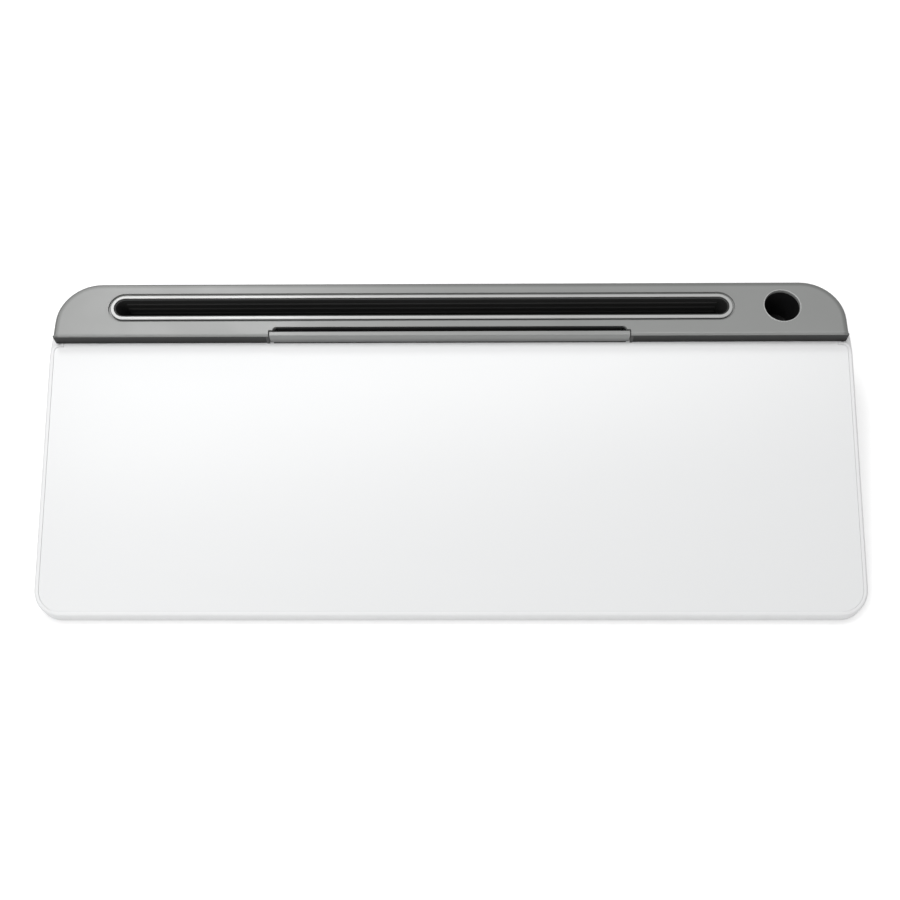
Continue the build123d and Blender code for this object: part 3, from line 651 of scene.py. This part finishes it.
def growPiece(name, tree, sizes, points, edges=()):
    seed = bpy.data.meshes.new(name + "Seed")
    seed.from_pydata(points, edges, [])
    piece = bpy.data.objects.new(name, seed)
    scene.collection.objects.link(piece)
    modifier = piece.modifiers.new("grow", "NODES")
    modifier.node_group = tree
    for item in tree.interface.items_tree:
        if item.item_type == "SOCKET" and item.in_out == "INPUT" and item.name in sizes:
            modifier[item.identifier] = sizes[item.name]
    evaluated = piece.evaluated_get(bpy.context.evaluated_depsgraph_get())
    grown = bpy.data.meshes.new_from_object(evaluated)
    piece.modifiers.remove(modifier)
    # a Boolean node leaves an empty material slot
    for index in reversed(range(len(grown.materials))):
        if grown.materials[index] is None:
            grown.materials.pop(index=index)
    grown.name = name
    piece.data = grown
    return piece


# raised lip round the pen hole, in the lighter silver trim so that it shows a bright ring all round: a
# painted highlight

penLip = {
    "sink": 0.00023,       # middle of the bead below the tray's top
    "radius": 0.0104,      # to the middle of the bead
    "bead": 0.00036,       # half its thickness
    "beadSides": 10,
    "steps": 96,
}


def makeLipTree(sizes):
    tree, given, out = newGeometryTree("roundLip", sizes)
    link = tree.links.new
    path = addNode(tree, "GeometryNodeCurvePrimitiveCircle")
    profile = addNode(tree, "GeometryNodeCurvePrimitiveCircle")
    sweep = addNode(tree, "GeometryNodeCurveToMesh")
    smooth = addNode(tree, "GeometryNodeSetShadeSmooth")
    spots = addNode(tree, "GeometryNodeMeshToPoints")
    place = addNode(tree, "GeometryNodeInstanceOnPoints")
    link(given.outputs["Steps"], path.inputs["Resolution"])
    link(given.outputs["Radius"], path.inputs["Radius"])
    link(given.outputs["Bead Sides"], profile.inputs["Resolution"])
    link(given.outputs["Bead"], profile.inputs["Radius"])
    link(path.outputs["Curve"], sweep.inputs["Curve"])
    link(profile.outputs["Curve"], sweep.inputs["Profile Curve"])
    link(sweep.outputs["Mesh"], smooth.inputs["Geometry"])
    link(given.outputs["Geometry"], spots.inputs["Mesh"])
    link(spots.outputs["Points"], place.inputs["Points"])
    link(smooth.outputs["Geometry"], place.inputs["Instance"])
    closeTree(tree, place.outputs["Instances"], out, silverTrim)
    return tree


def makePenLip(lip):
    sizes = {
        "Radius": lip["radius"], "Bead": lip["bead"],
        "Bead Sides": lip["beadSides"], "Steps": lip["steps"],
    }
    hole = middleOf("pen_cup")
    centre = (hole.x, hole.y, topOf("tray_cover") - lip["sink"])
    piece = growPiece("penHoleLip", makeLipTree(sizes), sizes, [centre])
    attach(piece, "body")


makePenLip(penLip)
print("pen hole lip made")

# clip springs, wound from round wire

clipSpring = {
    "start": 0.0714,                 # x at which the coil leaves the bar's arm
    "radius": 0.0016,
    "pitch": 0.00085,
    "turns": 2,
    "wire": 0.0003,                  # half the wire's thickness
    "seat": (-0.0049, -0.00075),     # end on the bar's ledge: y and z from the pin
    "anchor": (0.0024, 0.00315),     # end under the tray, from the pin
    "turnSteps": 32,
    "armSteps": 10,
    "sides": 12,
    "still": 0.0646,                 # y behind which the wire stays with the tray
    "moving": 0.0622,                # y ahead of which it goes with the bar
}


def springPoints(spring, pin, side):
    radius, pitch = spring["radius"], spring["pitch"]
    # each arm is tangent to the coil
    reach, angle = {}, {}
    for end, turn in (("seat", -1), ("anchor", 1)):
        away, up = spring[end]
        reach[end] = math.sqrt(away**2 + up**2 - radius**2)
        angle[end] = math.atan2(up, away) + turn * math.acos(radius / math.hypot(away, up))
    wound = spring["turns"] * math.tau + (angle["seat"] - angle["anchor"]) % math.tau
    steps = round(spring["turnSteps"] * wound / math.tau)

    def onCoil(turned):
        lean = angle["seat"] - turned
        x = spring["start"] - pitch * turned / math.tau
        return Vector((x, pin.y + radius * math.cos(lean), pin.z + radius * math.sin(lean)))

    def along(turned):
        lean = angle["seat"] - turned
        onward = Vector((-pitch / math.tau, radius * math.sin(lean), -radius * math.cos(lean)))
        return onward.normalized()

    shares = [step / spring["armSteps"] for step in range(spring["armSteps"] + 1)]
    points = [onCoil(0) - along(0) * reach["seat"] * (1 - share) for share in shares[:-1]]
    points += [onCoil(wound * step / steps) for step in range(steps + 1)]
    points += [onCoil(wound) + along(wound) * reach["anchor"] * share for share in shares[1:]]
    return [(side * x, y, z) for x, y, z in points]


def makeWireTree(sizes):
    tree, given, out = newGeometryTree("roundWire", sizes)
    link = tree.links.new
    path = addNode(tree, "GeometryNodeMeshToCurve")
    profile = addNode(tree, "GeometryNodeCurvePrimitiveCircle")
    sweep = addNode(tree, "GeometryNodeCurveToMesh", {"Fill Caps": True})
    link(given.outputs["Geometry"], path.inputs["Mesh"])
    link(given.outputs["Wire"], profile.inputs["Radius"])
    link(given.outputs["Sides"], profile.inputs["Resolution"])
    link(path.outputs["Curve"], sweep.inputs["Curve"])
    link(profile.outputs["Curve"], sweep.inputs["Profile Curve"])
    closeTree(tree, sweep.outputs["Mesh"], out, brightSteel)
    return tree


def makeClipSprings(spring):
    sizes = {"Wire": spring["wire"], "Sides": spring["sides"]}
    roundWire = makeWireTree(sizes)
    pin = middleOf("clip_pin")
    for name, side in (("left", -1), ("right", 1)):
        points = springPoints(spring, pin, side)
        edges = [(i, i + 1) for i in range(len(points) - 1)]
        piece = growPiece(f"clipSpring{name.capitalize()}", roundWire, sizes, points, edges)
        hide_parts(f"clip_spring_{name}")
        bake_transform(piece)


makeClipSprings(clipSpring)
print("clip springs wound")

# cross-head screws that close the base

baseScrew = {
    "headRadius": 0.0027,
    "headHeight": 0.0018,
    "headSides": 36,
    "crown": 0.55,          # share of the head that tapers
    "crownRadius": 0.0019,
    "shankRadius": 0.0014,
    "shankLength": 0.0070,
    "shankSides": 20,
    "recessSpan": 0.0029,
    "recessWidth": 0.0006,
    "recessDepth": 0.0010,
}


def looseParts(node, weld=1e-6):
    # the node's separate solids, as lists of points in the same order each time
    mesh = bmesh.new()
    mesh.from_mesh(node.data)
    bmesh.ops.remove_doubles(mesh, verts=mesh.verts, dist=weld)
    found, parts = set(), []
    for first in mesh.verts:
        if first in found:
            continue
        found.add(first)
        part = [first]
        for point in part:
            around = [edge.other_vert(point) for edge in point.link_edges]
            fresh = [other for other in around if other not in found]
            found.update(fresh)
            part += fresh
        parts.append([point.co.copy() for point in part])
    mesh.free()
    return parts


def makeScrewTree(sizes):
    tree, given, out = newGeometryTree("crossScrew", sizes)
    link = tree.links.new

    def scaled(value, factor):
        node = addNode(tree, "ShaderNodeMath", operation="MULTIPLY")
        link(value, node.inputs[0])
        if isinstance(factor, float):
            node.inputs[1].default_value = factor
        else:
            link(factor, node.inputs[1])
        return node.outputs[0]

    def raised(mesh, height):
        lift = addNode(tree, "ShaderNodeCombineXYZ")
        move = addNode(tree, "GeometryNodeTransform")
        link(height, lift.inputs["Z"])
        link(mesh, move.inputs["Geometry"])
        link(lift.outputs[0], move.inputs["Translation"])
        return move.outputs["Geometry"]

    # the seat of the head is at zero, its crown below and its shank above;
    # a cone grows up from its base, a cylinder both ways from its middle
    headHeight = given.outputs["Head Height"]
    crownBase = scaled(headHeight, -1.0)
    taper = scaled(headHeight, given.outputs["Crown"])
    crown = addNode(tree, "GeometryNodeMeshCone")
    link(given.outputs["Head Sides"], crown.inputs["Vertices"])
    link(given.outputs["Crown Radius"], crown.inputs["Radius Bottom"])
    link(given.outputs["Head Radius"], crown.inputs["Radius Top"])
    link(taper, crown.inputs["Depth"])
    rimHeight = addNode(tree, "ShaderNodeMath", operation="SUBTRACT")
    link(headHeight, rimHeight.inputs[0])
    link(taper, rimHeight.inputs[1])
    rim = addNode(tree, "GeometryNodeMeshCylinder")
    link(given.outputs["Head Sides"], rim.inputs["Vertices"])
    link(given.outputs["Head Radius"], rim.inputs["Radius"])
    link(rimHeight.outputs[0], rim.inputs["Depth"])
    shank = addNode(tree, "GeometryNodeMeshCylinder")
    link(given.outputs["Shank Sides"], shank.inputs["Vertices"])
    link(given.outputs["Shank Radius"], shank.inputs["Radius"])
    link(given.outputs["Shank Length"], shank.inputs["Depth"])
    whole = addNode(tree, "GeometryNodeMeshBoolean", operation="UNION", solver="EXACT")
    link(raised(crown.outputs["Mesh"], crownBase), whole.inputs["Mesh 2"])
    link(raised(rim.outputs["Mesh"], scaled(rimHeight.outputs[0], -0.5)), whole.inputs["Mesh 2"])
    shankMiddle = scaled(given.outputs["Shank Length"], 0.5)
    link(raised(shank.outputs["Mesh"], shankMiddle), whole.inputs["Mesh 2"])
    # the recess is a cross of two bars, half of each in the crown
    cut = addNode(tree, "GeometryNodeMeshBoolean", operation="DIFFERENCE", solver="EXACT")
    link(whole.outputs["Mesh"], cut.inputs["Mesh 1"])
    barHeight = scaled(given.outputs["Recess Depth"], 2.0)
    for long, wide in (("X", "Y"), ("Y", "X")):
        size = addNode(tree, "ShaderNodeCombineXYZ")
        bar = addNode(tree, "GeometryNodeMeshCube")
        link(given.outputs["Recess Span"], size.inputs[long])
        link(given.outputs["Recess Width"], size.inputs[wide])
        link(barHeight, size.inputs["Z"])
        link(size.outputs[0], bar.inputs["Size"])
        link(raised(bar.outputs["Mesh"], crownBase), cut.inputs["Mesh 2"])
    spots = addNode(tree, "GeometryNodeMeshToPoints")
    lean = addNode(tree, "ShaderNodeCombineXYZ")
    place = addNode(tree, "GeometryNodeInstanceOnPoints")
    link(given.outputs["Geometry"], spots.inputs["Mesh"])
    link(spots.outputs["Points"], place.inputs["Points"])
    link(cut.outputs["Mesh"], place.inputs["Instance"])
    link(given.outputs["Tilt"], lean.inputs["X"])
    link(lean.outputs[0], place.inputs["Rotation"])
    closeTree(tree, place.outputs["Instances"], out, brightSteel)
    return tree


def screwPlaces(node, headHeight):
    # which way the heads look, and where each one's seat is
    facingDown = -0.9    # a face looks down where its normal's z is below this
    flatness = 1e-5      # how far points on a head's face may differ in height
    down = Vector()
    for face in node.data.polygons:
        if face.normal.z < facingDown:
            down += face.normal * face.area
    down.normalize()
    seats = []
    for part in looseParts(node):
        headFace = max(point.dot(down) for point in part)
        head = [point for point in part if point.dot(down) > headFace - flatness]
        centre = sum(head, Vector()) / len(head)
        seats.append(tuple(centre - down * headHeight))
    return down, sorted(seats)


def makeBaseScrews(screw):
    down, seats = screwPlaces(nodes["base_screws"], screw["headHeight"])
    sizes = {
        "Head Radius": screw["headRadius"], "Head Height": screw["headHeight"],
        "Head Sides": screw["headSides"],
        "Crown": screw["crown"], "Crown Radius": screw["crownRadius"],
        "Shank Radius": screw["shankRadius"], "Shank Length": screw["shankLength"],
        "Shank Sides": screw["shankSides"],
        "Recess Span": screw["recessSpan"], "Recess Width": screw["recessWidth"],
        "Recess Depth": screw["recessDepth"], "Tilt": math.atan2(down.y, -down.z),
    }
    screws = growPiece("baseScrews", makeScrewTree(sizes), sizes, seats)
    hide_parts("base_screws")
    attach(screws, "body")
    print("base screws:", len(seats), "tilt", round(math.degrees(sizes["Tilt"]), 2))


makeBaseScrews(baseScrew)
